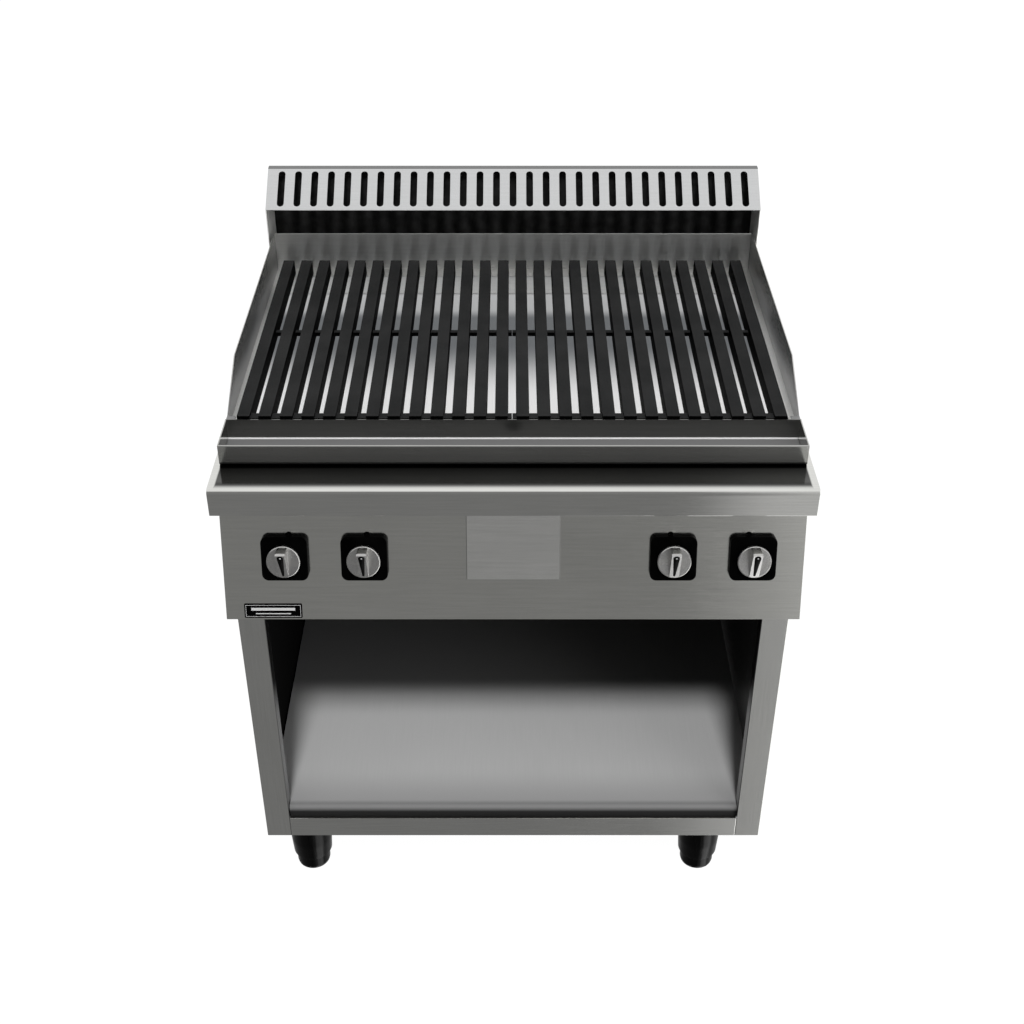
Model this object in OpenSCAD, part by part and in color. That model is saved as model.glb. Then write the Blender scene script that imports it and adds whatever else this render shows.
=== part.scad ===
// Gas charbroiler grill on an open cabinet, floor standing.
// Millimetres, +Z up, +Y towards the back, X across. The origin is on the floor, under the middle of
// the whole machine. Every module is laid out from the worktop's front face (y = 0), the centre line
// (x = 0) and the floor (z = 0), and placed() moves it to the origin.

/* [Worktop] */
// Width over the worktop
worktop_w = 800; // [790:5:840]
// Height of the working surface above the floor
worktop_h = 850; // [849:1:854]
// Depth from the front edge to the back of the flue
worktop_d = 710; // [705:5:730]
// Height of the fascia under the front edge
fascia_h = 40; // [36:1:40]
// Radius of the worktop's front edge
edge_r = 8; // [5:1:10]

/* [Grate] */
// Number of bars in each of the two grates
bars = 13; // [11:1:13]
// Distance from bar to bar
bar_pitch = 29.3; // [28:0.1:29.3]
// Length of a bar
bar_l = 495; // [480:5:495]
// Height of a bar
bar_h = 23; // [20:1:24]
// Width of a bar's top face
bar_top_w = 17.2; // [14:0.2:17.4]
// Width of a bar at its foot
bar_foot_w = 18.6; // [17.5:0.1:20]

/* [Hearth] */
// Depth of the grease gutter in front of the grates
gutter_d = 68; // [60:1:68]
// Height of the gutter's rim above the worktop
gutter_h = 30.7; // [26:0.1:34]
// Height of the splash walls above the worktop
splash_h = 74; // [66:1:80]

/* [Flue] */
// Number of slots in the flue's face
slots = 29; // [25:2:29]
// Distance from slot to slot
slot_pitch = 26.9; // [25:0.1:26.9]
// Length of a slot
slot_l = 66.5; // [50:0.5:67]
// Width of a slot
slot_w = 11.2; // [8:0.1:12]
// Height of the flue's ridge above the worktop
flue_h = 164; // [158:1:175]

/* [Control panel] */
// Lean of the panel from upright, with its lower edge forward
panel_tilt = 15; // [14:0.5:15]
// Height of the panel's lower edge above the floor
panel_z = 650; // [648:1:651]
// Side of a square knob bezel
bezel_w = 62.5; // [56:0.5:66]
// Diameter of a knob
knob_d = 45; // [42:1:50]
// How far a knob pushes in
push_travel = 4; // [2:0.5:4]

/* [Feet] */
// Distance from the floor to the cabinet's underside
foot_h = 165; // [160:1:170]
// Diameter of a foot's pad
pad_d = 55; // [54:1:58]

/* [Hidden] */
$fn = 48;

STEEL = "#a9aaa8";
BRIGHT = "#cfd0cf";
IRON = "#262626";
BLACK = "#0b0b0b";
BRASS = "#b08d4a";

// Sheet metal and clearances
t = 1.5;              // sheet thickness
top_t = 2;            // worktop thickness
gap = 0.3;            // room round a piece that lifts out or slides
fit = 0.05;           // radial clearance of a running fit
eps = 0.01;           // overlap of a cutter with the face it cuts through

// Widths, from the centre line
half_w = worktop_w / 2;
body_x = half_w - 8;      // splash walls, gutter and control panel
hearth_x = half_w - 18;   // outside of the hearth below the worktop
cab_x = half_w - 10;      // outside of the cabinet
liner_x = half_w - 16;    // inside of the cabinet's double side panels
open_x = cab_x - 38;      // edge of the open front

// Depths, from the worktop's front face
cab_y = 35;                               // front plane of the cabinet
gutter_y = 60.6;
gutter_r = 4.5;                           // outside of the gutter's lower corners
spout_y = gutter_y + 34;                  // drain over the grease drawer
hearth_y0 = gutter_y + gutter_d + 0.4;
hearth_y1 = 645;
flue_y = hearth_y1 - 10;                  // lower edge of the flue's slotted face
back_y = worktop_d - 20;                  // outside of the back panel
post_return = 22;

// Heights, from the floor
top_z = worktop_h;
fascia_z = top_z - fascia_h;
grate_z = top_z + 35;                     // top of the bars
seat_z = grate_z - bar_h;                 // what the bars rest on
radiant_z = top_z - 35;                   // top of the radiant plates
burner_z = radiant_z - 35;
drip_z = top_z - 107.5;                   // inner edge of the sloping drip plates
drip_slope = 2.5;
ceiling_z = panel_z + 3.5;
rail_h = 38.5;
floor_z = foot_h + rail_h + 20.5;         // top of the cabinet's floor
hearth_foot_z = drip_z + (hearth_x - 46) * tan(drip_slope) + 1;

// Flue face
ridge_y = worktop_d - 10;
ridge_z = top_z + flue_h;
throat_z = top_z + 118.6;
flue_a = atan((ridge_z - throat_z) / (ridge_y - flue_y));
flue_l = (ridge_y - flue_y) / cos(flue_a);

// Control panel: panel_at() works in the plane of its face, x across, y up the slope, z outwards
panel_y = -18;
panel_top = (top_z - 12 - panel_z) / cos(panel_tilt);
knob_s = 92.3;
knob_x = [-307, -200, 215, 322];
control_depth = 62;                       // from the panel's face to the back of a valve
bezel_t = 10;
skirt_z = bezel_t + push_travel + 1;      // back of a knob's skirt
skirt_t = 6.5;
nose_l = 24.5;                            // how far the grip stands in front of the skirt
spindle_r = 4;
plug_r = 9;
mark_shift = 0.02;                        // the index marks sit this much nearer the centre line

// Grip of a knob seen from the side, as [up the slope, outwards]
grip_z = skirt_z + skirt_t;
grip = [[-22, grip_z - 1], [-22, grip_z], [18.5, grip_z + nose_l], [21, grip_z + nose_l - 3],
    [21, grip_z - 1]];
grip_w = 13;

// Grease drawer
drawer_x = 63;
drawer_s0 = 60;
drawer_top_z = fascia_z - 3;
drawer_s1 = (drawer_top_z - panel_z) / cos(panel_tilt) - 0.5;
pan_x = 50;
pan_y0 = 12;
pan_y1 = 592;
pan_z = panel_z + 62;
pan_h = 26;
pan_lip = 7;

// Gas train
manifold_r = 13.4;
pipe_r = 10.65;
stub_r = 10.48;                           // outside of a half-inch pipe thread
pipe_x = 268;
injector_r = 8;
burner_r = 18;
mixer_r = 12.5;
injector_y = 76;
mixer_y = 98;
seams = [-hearth_x + 2, -198, 10, 198, hearth_x - 2];   // edges of the radiant plates, each under a bar
burner_x = [for (i = [0:3]) (seams[i] + seams[i + 1]) / 2];

// Grates
grate_shift = -1.5;                       // the pair of grates sits this far off the centre line
grate_y0 = hearth_y0 + 1;
grate_half = bars * bar_pitch;

// Feet: [x, y]
foot_at = [[-340.5, 139], [313.5, 139], [-340.5, 590], [313.5, 590]];
socket_r = 34;
stem_r = 26.5;
stem_top = 110;
pad_h = 22;

// The frame's origin is midway between the foremost knob and the back of the flue
function slope_y(s, z) = panel_y + s * sin(panel_tilt) - z * cos(panel_tilt);
function slope_z(s, z) = panel_z + s * cos(panel_tilt) + z * sin(panel_tilt);
front_y = min([for (p = grip) slope_y(knob_s + p.x, p.y)]);
mid_y = (front_y + worktop_d) / 2;

// The manifold lies below and behind the knobs
manifold_y = slope_y(knob_s - 32, -45);
manifold_z = slope_z(knob_s - 32, -45);

module placed() translate([0, -mid_y, 0]) children();

module panel_at(x, s) translate([x, slope_y(s, 0), slope_z(s, 0)]) rotate([90 - panel_tilt, 0, 0]) children();

// A block given by two opposite corners
module block(a, b) translate(a) cube(b - a);

// An outline in the YZ plane, swept along X from x0 to x1
module across(x0, x1) translate([x0, 0, 0]) rotate([90, 0, 90]) linear_extrude(x1 - x0) children();

// Mirror image on the other side of the centre line
module both_sides() {
    children();
    mirror([1, 0, 0]) children();
}

module rounded(w, h, r) {
    square([w - 2 * r, h], center = true);
    square([w, h - 2 * r], center = true);
    for (x = [-1, 1], y = [-1, 1])
        translate([x * (w / 2 - r), y * (h / 2 - r)])
            circle(r);
}

// Round bar from point a to point b
module rod(a, b, r) {
    d = b - a;
    l = norm(d);
    translate(a) rotate([0, acos(d.z / l), atan2(d.y, d.x)]) cylinder(r = r, h = l);
}

// ---- Outer shell ----

module worktop() color(STEEL) placed() difference() {
    union() {
        across(-half_w, half_w) {
            translate([edge_r, top_z - edge_r]) difference() {
                intersection() {
                    circle(edge_r);
                    translate([-edge_r, 0]) square(edge_r);
                }
                circle(edge_r - top_t);
            }
            translate([0, fascia_z]) square([top_t, fascia_h - edge_r]);
            translate([edge_r, top_z - top_t]) square([worktop_d - edge_r - t - gap, top_t]);
        }
        both_sides() across(half_w - top_t, half_w) {
            translate([edge_r, top_z - edge_r]) circle(edge_r);
            translate([0, fascia_z]) square([back_y - gap, fascia_h - edge_r]);
            translate([edge_r, fascia_z]) square([back_y - gap - edge_r, fascia_h]);
        }
    }
    block([-hearth_x - gap, hearth_y0 - gap, fascia_z], [hearth_x + gap, hearth_y1 + gap, top_z + 1]);
    block([-half_w + 20, hearth_y1 + 10, fascia_z], [half_w - 20, worktop_d - 10, top_z + 1]);
    translate([0, spout_y, top_z - 5]) cylinder(r = 15, h = 10);
}

// Folded panel with side cheeks, a bottom flange, four spindle holes and the drawer's opening
module control_panel() color(STEEL) placed() {
    back = cab_y - 0.5;
    fold = t * (1 + sin(panel_tilt)) / cos(panel_tilt);
    top = [slope_y(panel_top, 0), slope_z(panel_top, 0)];
    difference() {
        union() {
            across(-body_x, body_x)
                polygon([[panel_y, panel_z], top, [slope_y(panel_top, -t), slope_z(panel_top, -t)],
                    [slope_y(fold, -t), panel_z + t], [back, panel_z + t], [back, panel_z]]);
            both_sides() across(body_x - t, body_x)
                polygon([[panel_y, panel_z], top, [back, top.y], [back, panel_z]]);
        }
        for (x = knob_x)
            panel_at(x, knob_s) cylinder(r = 13, h = 20, center = true);
        panel_at(0, 0)
            translate([-drawer_x + 4, drawer_s0 + 3.5, -20]) cube([2 * drawer_x - 8, drawer_s1 - drawer_s0 - 6, 40]);
    }
}

// Double-skinned side, open at its lower edge
module side_panel() difference() {
    block([liner_x, cab_y + t, foot_h], [cab_x, back_y - t, fascia_z + 30]);
    block([liner_x + t, cab_y + 2 * t, foot_h - 1], [cab_x - t, back_y - 2 * t, fascia_z + 30 - t]);
}

module left_side_panel() color(STEEL) placed() mirror([1, 0, 0]) side_panel();

module right_side_panel() color(STEEL) placed() side_panel();

// Back sheet with rows of air slots and a hole for the gas pipe
module back_panel() color(STEEL) placed() difference() {
    block([-cab_x, back_y - t, foot_h], [cab_x, back_y, top_z - top_t - gap]);
    for (row = [0:2], i = [-6:6])
        translate([i * 40, back_y, top_z - 60 - row * 14]) cube([28, 10, 5], center = true);
    translate([pipe_x, back_y, manifold_z]) rotate([90, 0, 0]) cylinder(r = pipe_r + 1, h = 10, center = true);
}

// Plate with a rounded fold down to the bottom rail, and a narrow gap along each side
module cabinet_floor() color(BRIGHT) placed() {
    r = 8;
    y0 = cab_y + 5;
    y1 = cab_y + post_return + gap;
    across(-open_x + gap, open_x - gap) {
        translate([y0 + r, floor_z - r]) difference() {
            intersection() {
                circle(r);
                translate([-r, 0]) square(r);
            }
            circle(r - t);
        }
        translate([y0, foot_h + rail_h]) square([t, floor_z - r - foot_h - rail_h]);
        translate([y0 + r, floor_z - t]) square([y1 - y0 - r, t]);
    }
    block([-liner_x + 2.5, y1, floor_z - t], [liner_x - 2.5, back_y - t, floor_z]);
}

// Channels under the floor that carry the feet
module base_rails() color(STEEL) placed() both_sides() difference() {
    block([262, 75, foot_h], [liner_x - 6, back_y - 15, floor_z - t]);
    block([262 + t, 70, foot_h + t], [liner_x - 6 - t, back_y, floor_z]);
}

// Front post: a face and a return into the cabinet
module post() {
    block([open_x, cab_y, foot_h], [cab_x, cab_y + t, fascia_z + 28]);
    block([open_x, cab_y + t, foot_h + rail_h], [open_x + t, cab_y + post_return, fascia_z + 28]);
}

module left_post() color(STEEL) placed() mirror([1, 0, 0]) post();

module right_post() color(STEEL) placed() post();

// Front rail under the opening, folded back under the floor's front edge
module bottom_rail() color(STEEL) placed() across(-open_x + gap / 3, open_x - gap / 3) {
    translate([cab_y, foot_h]) square([t, rail_h]);
    translate([cab_y, foot_h + rail_h - t]) square([14 + t, t]);
    translate([cab_y + 14, foot_h + 20]) square([t, rail_h - 20]);
}

module compartment_ceiling() color(STEEL) placed()
    block([-liner_x + gap, cab_y + post_return + gap, ceiling_z - t], [liner_x - gap, back_y - 2 * t, ceiling_z]);

// ---- Hearth ----

// Side wall: the splash, which runs down at the front to the gutter's rim, a tab beside the grate, a
// fold that lies on the worktop, and the hearth's side below it
module hearth_side() {
    y0 = hearth_y0 + 2;
    across(body_x - t, body_x)
        polygon([[y0, top_z], [y0, top_z + 18], [y0 + 5, top_z + 24], [y0 + 100, top_z + splash_h],
            [hearth_y1, top_z + splash_h], [hearth_y1, top_z]]);
    block([grate_half - 1, y0, top_z + 26.5], [body_x, y0 + 11, top_z + 28]);
    block([hearth_x - t, y0, top_z], [body_x, hearth_y1, top_z + t]);
    block([hearth_x - t, y0, hearth_foot_z], [hearth_x, hearth_y1, top_z + t]);
}

module left_hearth_wall() color(STEEL) placed() mirror([1, 0, 0]) hearth_side();

module right_hearth_wall() color(STEEL) placed() hearth_side();

// Outline of an end wall: wider above the worktop, and its lower edge follows the drip plates
module hearth_end(h) {
    x = hearth_x - t;
    foot = drip_z + (x - 46) * tan(drip_slope) + gap;
    polygon([[-x, top_z + t], [-x, foot], [-46, drip_z + gap], [46, drip_z + gap], [x, foot], [x, top_z + t]]);
    translate([-body_x + t, top_z + t]) square([2 * (body_x - t), h - top_z - t]);
}

module rear_hearth_wall() color(STEEL) placed() difference() {
    translate([0, hearth_y1, 0]) rotate([90, 0, 0]) linear_extrude(t) hearth_end(top_z + splash_h);
    for (i = [-2:2])
        translate([i * 140, hearth_y1, burner_z + 2]) cube([100, 10, 22], center = true);
}

// Front wall with the grates' front ledge, and a hole for each burner's mixing tube
module front_hearth_wall() color(STEEL) placed() difference() {
    union() {
        translate([0, hearth_y0 + t, 0]) rotate([90, 0, 0]) linear_extrude(t) hearth_end(seat_z - gap);
        block([-body_x + t, hearth_y0 + t, seat_z - gap - t], [body_x - t, hearth_y0 + 14, seat_z - gap]);
    }
    for (x = burner_x)
        translate([x, hearth_y0, burner_z]) rotate([90, 0, 0]) cylinder(r = mixer_r + 1, h = 20, center = true);
}

// Welded strips: side and rear ledges round the grates, and the two rails under the radiant plates
module hearth_ledges() color(BRIGHT) placed() {
    both_sides() block([grate_half + 1.5, hearth_y0 + 15, seat_z - gap - t], [body_x - t, hearth_y1 - t, seat_z - gap]);
    block([-grate_half - 1, hearth_y1 - t - 30, seat_z - gap - t], [grate_half + 1, hearth_y1 - t, seat_z - gap]);
    for (y = [[hearth_y0 + t, hearth_y0 + 16], [hearth_y1 - t - 16, hearth_y1 - t]])
        block([-hearth_x + t, y[0], radiant_z - 2 * t - gap], [hearth_x - t, y[1], radiant_z - t - gap]);
}

// Outline of the trough with rounded lower corners, inset by d
module trough(d) {
    r = gutter_r - d;
    w = gutter_d - 2 * d;
    translate([gutter_y + d, top_z + d]) {
        translate([0, r]) square([w, gutter_h - r]);
        translate([r, 0]) square([w - 2 * r, 2 * r]);
        for (y = [r, w - r])
            translate([y, r]) circle(r);
    }
}

// Grease trough with a rounded hem at the front, and a drain spout over the grease drawer
module gutter() color(STEEL) placed() {
    z1 = top_z + gutter_h;
    hem_h = 8;
    spout_z = pan_z + pan_h + 8;
    difference() {
        union() {
            across(-body_x, body_x) {
                difference() {
                    trough(0);
                    trough(t);
                    translate([gutter_y - 1, z1 - t]) square([t + 1, t + 1]);
                }
                translate([gutter_y + t, z1 - t]) circle(t);
                translate([gutter_y + t, z1 - hem_h]) square([t, hem_h - t]);
            }
            both_sides() across(body_x - t, body_x) difference() {
                trough(0);
                translate([gutter_y - 1, z1 - t]) square([t + 1, t + 1]);
            }
            translate([0, spout_y, spout_z]) cylinder(r = 14, h = top_z + t - spout_z);
        }
        translate([0, spout_y, pan_z]) cylinder(r = 12.5, h = top_z - pan_z + 10);
    }
}

// Shallow inverted tray over each burner
module radiants() color(BRIGHT) placed() for (i = [0:3]) {
    x0 = seams[i] + 0.5;
    x1 = seams[i + 1] - 0.5;
    block([x0, hearth_y0 + t + 1, radiant_z - t], [x1, hearth_y1 - t - 1, radiant_z]);
    for (x = [x0, x1 - t])
        block([x, hearth_y0 + 20, radiant_z - 12], [x + t, hearth_y1 - 22, radiant_z - t]);
}

// Sheet that slopes down from the hearth's side to the drawer, with a drip lip at its inner edge
module drip_plate() {
    run = hearth_x - t - 46;
    translate([46, hearth_y0 + 2 * t, drip_z]) rotate([90, 0, 0]) mirror([0, 0, 1])
        linear_extrude(hearth_y1 - hearth_y0 - 4 * t) {
            polygon([[0, 0], [0, -t], [run, run * tan(drip_slope) - t], [run, run * tan(drip_slope)]]);
            translate([0, -3]) square([t, 3]);
        }
}

module left_drip_plate() color(STEEL) placed() mirror([1, 0, 0]) drip_plate();

module right_drip_plate() color(STEEL) placed() drip_plate();

// ---- Grates ----

// Bar: a cast channel, open underneath
module bar_section() difference() {
    polygon([[-bar_foot_w / 2, 0], [-bar_top_w / 2, bar_h], [bar_top_w / 2, bar_h], [bar_foot_w / 2, 0]]);
    translate([-bar_foot_w / 2 + 5, -1]) square([bar_foot_w - 10, bar_h - 5]);
}

// Grate from its inner edge outwards, with a cross member under the front ends of the bars and a
// slender one behind their middle
module grate() {
    for (i = [0:bars - 1])
        translate([(i + 0.5) * bar_pitch, grate_y0, seat_z]) rotate([90, 0, 0]) mirror([0, 0, 1])
            linear_extrude(bar_l) bar_section();
    outer = grate_half - bar_pitch / 2;
    block([gap, grate_y0 + 3, seat_z + 2], [outer, grate_y0 + 16, grate_z - 5]);
    block([gap, grate_y0 + bar_l * 0.53, seat_z + 6], [outer, grate_y0 + bar_l * 0.53 + 8, seat_z + 12.5]);
}

module left_grate() color(IRON) placed() translate([grate_shift, 0, 0]) mirror([1, 0, 0]) grate();

module right_grate() color(IRON) placed() translate([grate_shift, 0, 0]) grate();

// ---- Flue ----

module flue_cheek() across(half_w - t, half_w)
    polygon([[flue_y, top_z], [flue_y, throat_z - t / cos(flue_a)],
        [ridge_y + t * tan(flue_a / 2), ridge_z - t], [worktop_d, ridge_z - t], [worktop_d, top_z]]);

module left_flue_cheek() color(STEEL) placed() mirror([1, 0, 0]) flue_cheek();

module right_flue_cheek() color(STEEL) placed() flue_cheek();

module flue_back() color(STEEL) placed()
    block([-half_w + t, worktop_d - t, top_z - top_t], [half_w - t, worktop_d, ridge_z - t]);

// Slotted face, folded flat at the ridge
module flue_grille() color(BRIGHT) placed() difference() {
    across(-half_w, half_w)
        polygon([[flue_y, throat_z], [ridge_y, ridge_z], [worktop_d, ridge_z], [worktop_d, ridge_z - t],
            [ridge_y + t * tan(flue_a / 2), ridge_z - t],
            [flue_y + t * sin(flue_a), throat_z - t * cos(flue_a)]]);
    translate([0, flue_y, throat_z]) rotate([flue_a, 0, 0])
        for (i = [0:slots - 1])
            translate([(i - (slots - 1) / 2) * slot_pitch, flue_l / 2, -5]) linear_extrude(10) {
                square([slot_w, slot_l - slot_w], center = true);
                for (side = [-1, 1])
                    translate([0, side * (slot_l - slot_w) / 2]) circle(slot_w / 2);
            }
}

// ---- Controls ----

module bezels() color(BLACK) placed() for (x = knob_x)
    panel_at(x, knob_s) difference() {
        linear_extrude(bezel_t) rounded(bezel_w, bezel_w, 9);
        translate([0, 0, -1]) cylinder(r = 10.5, h = bezel_t + 2);
    }

module name_plate() color(BLACK) placed()
    panel_at(-327.5, 13) linear_extrude(1) rounded(79, 21, 1.5);

module index_marks() color(BLACK) placed() for (x = knob_x)
    panel_at(x * (1 - mark_shift), knob_s + bezel_w / 2 + 0.5) linear_extrude(0.4) intersection() {
        circle(4.2);
        translate([-5, 0]) square([10, 5]);
    }

// Metal knob: skirt, wedge-shaped grip and a hub bored for its spindle
module knob(k) color(BRIGHT) placed() panel_at(knob_x[k], knob_s) difference() {
    union() {
        translate([0, 0, skirt_z]) cylinder(d = knob_d, h = skirt_t - 1);
        translate([0, 0, grip_z - 1]) cylinder(d1 = knob_d, d2 = knob_d - 2, h = 1);
        translate([0, 0, bezel_t - 2]) cylinder(r = 9, h = skirt_z - bezel_t + 2);
        intersection() {
            across(-grip_w / 2, grip_w / 2) polygon(grip);
            cylinder(d = knob_d - 2, h = grip_z + nose_l + 1);
        }
    }
    translate([0, 0, bezel_t - 3]) cylinder(r = spindle_r, h = skirt_z);
}

// Spindle with the collar that its spring pushes on
module spindle(k) color(STEEL) placed() panel_at(knob_x[k], knob_s) {
    translate([0, 0, -30]) cylinder(r = spindle_r, h = skirt_z + bezel_t + 27);
    translate([0, 0, -8]) cylinder(r = 7, h = 2);
}

// Plug that turns in the valve and meters the gas, driven by the spindle
module valve_plug(k) color(BRASS) placed() panel_at(knob_x[k], knob_s) difference() {
    translate([0, 0, -56]) cylinder(r1 = plug_r - 2, r2 = plug_r, h = 32);
    translate([0, 0, -44]) cylinder(r = spindle_r + fit, h = 30);
    translate([0, 0, -49]) rotate([90, 0, 0]) cylinder(r = 2, h = 3 * plug_r, center = true);
}

// Valve: block saddled on the manifold, nose behind the panel, bored for plug, spindle and spring
module valve_bodies() color(BRASS) placed() difference() {
    for (x = knob_x)
        panel_at(x, knob_s) difference() {
            union() {
                translate([-15, -20, -control_depth]) cube([30, 38, 40]);
                translate([0, 0, -23]) cylinder(r = 11, h = 20);
                translate([0, 12, -control_depth - 6]) cylinder(r = 6, h = 7);
            }
            translate([0, 0, -56 - fit]) cylinder(r1 = plug_r - 2 + fit, r2 = plug_r + fit, h = 32 + 2 * fit);
            translate([0, 0, -30]) cylinder(r = spindle_r + fit, h = 30);
            translate([0, 0, -20]) cylinder(r = 7.5, h = 30);
        }
    manifold_bar(manifold_r, worktop_w);
}

// Round bar along the manifold's axis, below and behind the knobs
module manifold_bar(r, l)
    translate([0, manifold_y, manifold_z]) rotate([0, 90, 0]) cylinder(r = r, h = l, center = true);

module gas_manifold() color(BRASS) placed() difference() {
    manifold_bar(manifold_r, 690);
    manifold_bar(manifold_r - 2.5, 680);
    translate([pipe_x, manifold_y, manifold_z]) rotate([-90, 0, 0]) cylinder(r = pipe_r - 2.6, h = 40);
}

// Supply pipe from the manifold to a threaded stub behind the cabinet
module gas_inlet_pipe() color(STEEL) placed() difference() {
    translate([pipe_x, 0, manifold_z]) rotate([-90, 0, 0]) {
        translate([0, 0, manifold_y]) cylinder(r = pipe_r, h = back_y - manifold_y);
        translate([0, 0, back_y]) cylinder(r = stub_r, h = 20);
    }
    translate([pipe_x, 0, manifold_z]) rotate([-90, 0, 0]) cylinder(r = pipe_r - 2.6, h = worktop_d + 1);
    manifold_bar(manifold_r, worktop_w);
}

// Injector in front of each burner's mixing tube
module injectors() color(BRASS) placed() for (x = burner_x)
    translate([x, injector_y, burner_z]) rotate([-90, 0, 0]) {
        cylinder(r = injector_r, h = 12, $fn = 6);
        translate([0, 0, 12]) cylinder(r1 = 5, r2 = 3, h = 7);
    }

// Tube with two square elbows from each valve's outlet to its injector
module gas_tubes() color(BRASS) placed() for (k = [0:3]) {
    r = 4;
    elbow = 11;
    s = knob_s + 12;
    y = injector_y + 6;
    a = [knob_x[k], slope_y(s, -control_depth - 6), slope_z(s, -control_depth - 6)];
    b = [knob_x[k], y, a.z - (y - a.y) * tan(panel_tilt)];
    c = [burner_x[k], y, burner_z - 25];
    d = [burner_x[k], y, burner_z - injector_r * cos(30) - eps];
    rod(a, b, r);
    translate(b) cube(elbow, center = true);
    rod(b, c, r);
    translate(c) cube(elbow, center = true);
    rod(c, d, r);
}

// Tube burner with a mixing tube at the front and a row of flame ports along its top
module burners() color(STEEL) placed() for (x = burner_x)
    translate([x, 0, burner_z]) rotate([-90, 0, 0]) difference() {
        union() {
            translate([0, 0, mixer_y]) cylinder(r1 = mixer_r + 4.5, r2 = mixer_r, h = 12);
            translate([0, 0, mixer_y + 12]) cylinder(r = mixer_r, h = 55);
            translate([0, 0, hearth_y0 + 30]) cylinder(r = burner_r, h = 440);
        }
        translate([0, 0, mixer_y - 1]) cylinder(r = mixer_r - t, h = 75);
        translate([0, 0, hearth_y0 + 30 + t]) cylinder(r = burner_r - t, h = 440 - 2 * t);
        for (i = [0:19])
            translate([0, -burner_r, hearth_y0 + 55 + i * 20]) cube([14, 12, 2], center = true);
    }

// Pilot head and flame sensor beside each burner, on a bracket from the front wall
module pilot_burners() color(BRASS) placed() for (x = burner_x)
    translate([x + 27, hearth_y0 + t, burner_z]) {
        translate([-5, 0, -8]) cube([14, 24, 2]);
        translate([0, 18, -6]) cylinder(r = 4, h = 18);
        translate([6, 18, -6]) cylinder(r = 2, h = 24);
    }

// Bar across the hearth that the burners' far ends lie on
module burner_support() color(STEEL) placed()
    block([-hearth_x + t, hearth_y1 - 65, burner_z - burner_r - 3], [hearth_x - t, hearth_y1 - 45, burner_z - burner_r]);

// Spring behind each spindle's collar
module return_springs() color(STEEL) placed() for (x = knob_x)
    panel_at(x, knob_s) translate([0, 0, -19.2]) coil(5.8, 0.6, 10.4, 3);

// Round wire wound to radius r: wire radius w, height h between the end turns' middles
module coil(r, w, h, turns) {
    steps = 10 * turns;
    sides = 6;
    pts = [for (i = [0:steps], j = [0:sides - 1])
        let (a = 360 * turns * i / steps, b = 360 * j / sides)
        [(r + w * cos(b)) * cos(a), (r + w * cos(b)) * sin(a), h * i / steps + w * sin(b)]];
    skin = [for (i = [0:steps - 1], j = [0:sides - 1])
        let (n = (j + 1) % sides)
        [i * sides + j, i * sides + n, (i + 1) * sides + n, (i + 1) * sides + j]];
    ends = [[for (j = [sides - 1:-1:0]) j], [for (j = [0:sides - 1]) steps * sides + j]];
    polyhedron(pts, concat(skin, ends));
}

// ---- Grease drawer ----

// Angles that the pan's rims slide on
module drawer_runners() color(STEEL) placed() both_sides() {
    z = pan_z + pan_h - t - gap;
    block([pan_x + 3, hearth_y0 - 20, z - t], [pan_x + 20, pan_y1 + 20, z]);
    block([pan_x + 20 - t, hearth_y0 + 10, z], [pan_x + 20, pan_y1 + 20, z + 3.5]);
}

// Open pan with a rim along each side
module drawer_pan() color(BRIGHT) placed() {
    z1 = pan_z + pan_h;
    difference() {
        block([-pan_x, pan_y0, pan_z], [pan_x, pan_y1, z1]);
        block([-pan_x + t, pan_y0 + t, pan_z + t], [pan_x - t, pan_y1 - t, z1 + 1]);
    }
    both_sides() block([pan_x - eps, pan_y0 + 10, z1 - t], [pan_x + pan_lip, pan_y1, z1]);
}

// Plate that lies over the drawer's opening, with a web back to the pan
module drawer_front() color(BRIGHT) placed() {
    web_z = pan_z + 12;
    panel_at(0, (drawer_s0 + drawer_s1) / 2)
        translate([0, 0, gap]) linear_extrude(2) square([2 * drawer_x, drawer_s1 - drawer_s0], center = true);
    web_y = slope_y((web_z - panel_z) / cos(panel_tilt), gap + 1);
    block([-40, web_y, web_z], [40, pan_y0, web_z + 2]);
    block([-40, pan_y0 - 2, web_z], [40, pan_y0, pan_z + pan_h]);
}

// ---- Feet and fasteners ----

// Tube under the cabinet that each foot slides up into
module foot_sockets() color(STEEL) placed() for (p = foot_at)
    translate([p.x, p.y, 0]) difference() {
        union() {
            translate([0, 0, pad_h + 5]) cylinder(r1 = socket_r - 2, r2 = socket_r, h = 33);
            translate([0, 0, pad_h + 38]) cylinder(r = socket_r, h = foot_h - pad_h - 38);
            translate([0, 0, foot_h - 4]) cylinder(r = socket_r + 6, h = 4);
        }
        translate([0, 0, -1]) cylinder(r = stem_r + fit, h = stem_top + 27);
    }

// Foot: a pad with a rounded lower edge and the stem inside its socket
module foot(k) color(IRON) placed() translate([foot_at[k].x, foot_at[k].y, 0]) {
    r = 5;
    rotate_extrude() {
        square([pad_d / 2 - r, pad_h]);
        translate([0, r]) square([pad_d / 2, pad_h - r]);
        translate([pad_d / 2 - r, r]) intersection() {
            circle(r);
            translate([0, -r]) square(r);
        }
        square([stem_r, stem_top]);
    }
}

module back_screws() color(STEEL) placed()
    for (x = [-cab_x + 15, 0, cab_x - 15], z = [foot_h + 25, 400, ceiling_z + 20])
        translate([x, back_y, z]) rotate([-90, 0, 0]) intersection() {
            cylinder(r = 4.5, h = 2.5);
            translate([0, 0, -3.5]) sphere(6);
        }

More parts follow.
